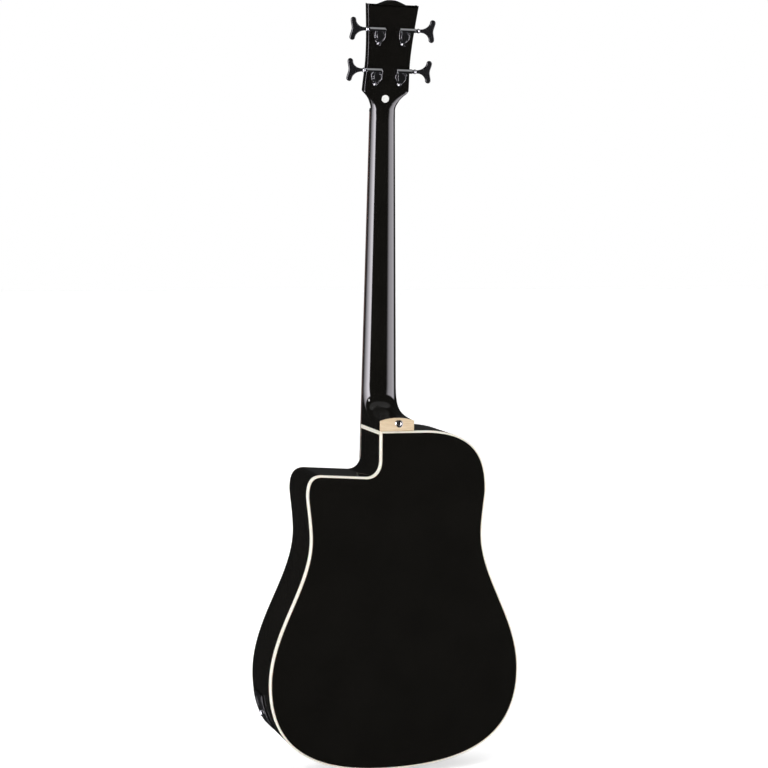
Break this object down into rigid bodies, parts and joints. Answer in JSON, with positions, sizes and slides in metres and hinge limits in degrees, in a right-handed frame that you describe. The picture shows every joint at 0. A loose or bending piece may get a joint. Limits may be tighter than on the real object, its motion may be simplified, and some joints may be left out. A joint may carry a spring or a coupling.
{
  "type": "acoustic bass guitar",
  "caption": "Acoustic bass guitar with a single-cutaway body, bound edges, long neck, tilted headstock with geared machine heads, side preamp and a battery drawer beside the output jack.",
  "frame": {"origin": "middle of the nut's fretboard edge, on the glue line between neck and fretboard, where a neck hanger holds the instrument", "axes": "+Z along the neck towards the headstock, +Y from the soundboard to the back, +X to the treble side, where the cutaway and the jack are"},
  "size_m": [0.3998, 0.1227, 1.1706],
  "materials": {
    "black_lacquer": "black gloss lacquer",
    "cream_binding": "polished cream",
    "spruce": "bare planed",
    "mahogany": "bare planed",
    "rosewood": "oiled",
    "tan_cap": "satin lacquer",
    "bone": "polished",
    "bronze": "wound strings",
    "steel": "satin",
    "chrome": "polished",
    "black_plastic": "satin",
    "battery_can": "plain jacket, satin",
    "paper": "plain white"
  },
  "bodies": {
    "instrument": {"soundboard": "black_lacquer", "back_plate": "black_lacquer", "bass_side": "black_lacquer", "treble_side": "black_lacquer", "top_binding": "cream_binding", "back_binding": "cream_binding", "top_lining": "spruce", "back_lining": "spruce", "neck_block": "mahogany", "tail_block": "mahogany", "cross_brace": "spruce", "transverse_brace": "spruce", "tone_bar_1": "spruce", "tone_bar_2": "spruce", "back_brace_1": "spruce", "back_brace_2": "spruce", "back_brace_3": "spruce", "back_brace_4": "spruce", "bridge_plate": "mahogany", "rosette": "cream_binding", "neck": "black_lacquer", "heel_cap": "tan_cap", "truss_rod": "steel", "fretboard": "rosewood", "nut": "black_plastic", "heel_strap_button": "chrome", "tail_strap_button": "chrome", "bridge": "rosewood", "saddle": "bone", "saddle_pickup": "steel", "bridge_pin_1": "bone", "bridge_pin_2": "bone", "bridge_pin_3": "bone", "bridge_pin_4": "bone", "string_1": "bronze", "string_2": "bronze", "string_3": "bronze", "string_4": "bronze", "truss_rod_cover": "black_plastic", "headstock_label": "paper", "tuner_1_housing": "chrome", "tuner_2_housing": "chrome", "tuner_3_housing": "chrome", "tuner_4_housing": "chrome", "preamp_housing": "black_plastic", "jack_plate": "black_plastic", "output_jack": "chrome"},
    "tuner_1_key": {"tuner_1_key": "chrome"},
    "tuner_1_post": {"tuner_1_post": "chrome"},
    "tuner_2_key": {"tuner_2_key": "chrome"},
    "tuner_2_post": {"tuner_2_post": "chrome"},
    "tuner_3_key": {"tuner_3_key": "chrome"},
    "tuner_3_post": {"tuner_3_post": "chrome"},
    "tuner_4_key": {"tuner_4_key": "chrome"},
    "tuner_4_post": {"tuner_4_post": "chrome"},
    "volume_knob": {"volume_knob": "black_plastic"},
    "bass_knob": {"bass_knob": "black_plastic"},
    "treble_knob": {"treble_knob": "black_plastic"},
    "battery_drawer": {"battery_tray": "black_plastic", "battery": "battery_can"}
  },
  "joints": [
    {"name": "key_1_turn", "type": "hinge", "parent": "instrument", "child": "tuner_1_key", "pos_m": [0.0193, 0.03064, 0.05966], "axis": [1, 0, 0], "continuous": true},
    {"name": "post_1_turn", "type": "hinge", "parent": "instrument", "child": "tuner_1_post", "pos_m": [0.0193, 0.01059, 0.05397], "axis": [0, 0.9774, -0.2113], "continuous": true},
    {"name": "key_2_turn", "type": "hinge", "parent": "instrument", "child": "tuner_2_key", "pos_m": [0.0193, 0.04358, 0.11948], "axis": [1, 0, 0], "continuous": true},
    {"name": "post_2_turn", "type": "hinge", "parent": "instrument", "child": "tuner_2_post", "pos_m": [0.0193, 0.02352, 0.11379], "axis": [0, 0.9774, -0.2113], "continuous": true},
    {"name": "key_3_turn", "type": "hinge", "parent": "instrument", "child": "tuner_3_key", "pos_m": [-0.0193, 0.04358, 0.11948], "axis": [-1, 0, 0], "continuous": true},
    {"name": "post_3_turn", "type": "hinge", "parent": "instrument", "child": "tuner_3_post", "pos_m": [-0.0193, 0.02352, 0.11379], "axis": [0, 0.9774, -0.2113], "continuous": true},
    {"name": "key_4_turn", "type": "hinge", "parent": "instrument", "child": "tuner_4_key", "pos_m": [-0.0193, 0.03064, 0.05966], "axis": [-1, 0, 0], "continuous": true},
    {"name": "post_4_turn", "type": "hinge", "parent": "instrument", "child": "tuner_4_post", "pos_m": [-0.0193, 0.01059, 0.05397], "axis": [0, 0.9774, -0.2113], "continuous": true},
    {"name": "volume_turn", "type": "hinge", "parent": "instrument", "child": "volume_knob", "pos_m": [-0.14269, 0.04805, -0.57593], "axis": [-0.9973, 0, -0.0737], "range_deg": [-140, 140]},
    {"name": "bass_turn", "type": "hinge", "parent": "instrument", "child": "bass_knob", "pos_m": [-0.14006, 0.04805, -0.59993], "axis": [-0.9929, 0, -0.1191], "range_deg": [-140, 140]},
    {"name": "treble_turn", "type": "hinge", "parent": "instrument", "child": "treble_knob", "pos_m": [-0.13761, 0.04805, -0.62393], "axis": [-0.9992, 0, -0.0402], "range_deg": [-140, 140]},
    {"name": "battery_slide", "type": "slide", "parent": "instrument", "child": "battery_drawer", "axis": [0.9574, 0, -0.2886], "range_m": [0, 0.045]}
  ],
  "couplings": [
    {"joint": "post_1_turn", "follows": "key_1_turn", "ratio": 0.05},
    {"joint": "post_2_turn", "follows": "key_2_turn", "ratio": 0.05},
    {"joint": "post_3_turn", "follows": "key_3_turn", "ratio": 0.05},
    {"joint": "post_4_turn", "follows": "key_4_turn", "ratio": 0.05}
  ]
}
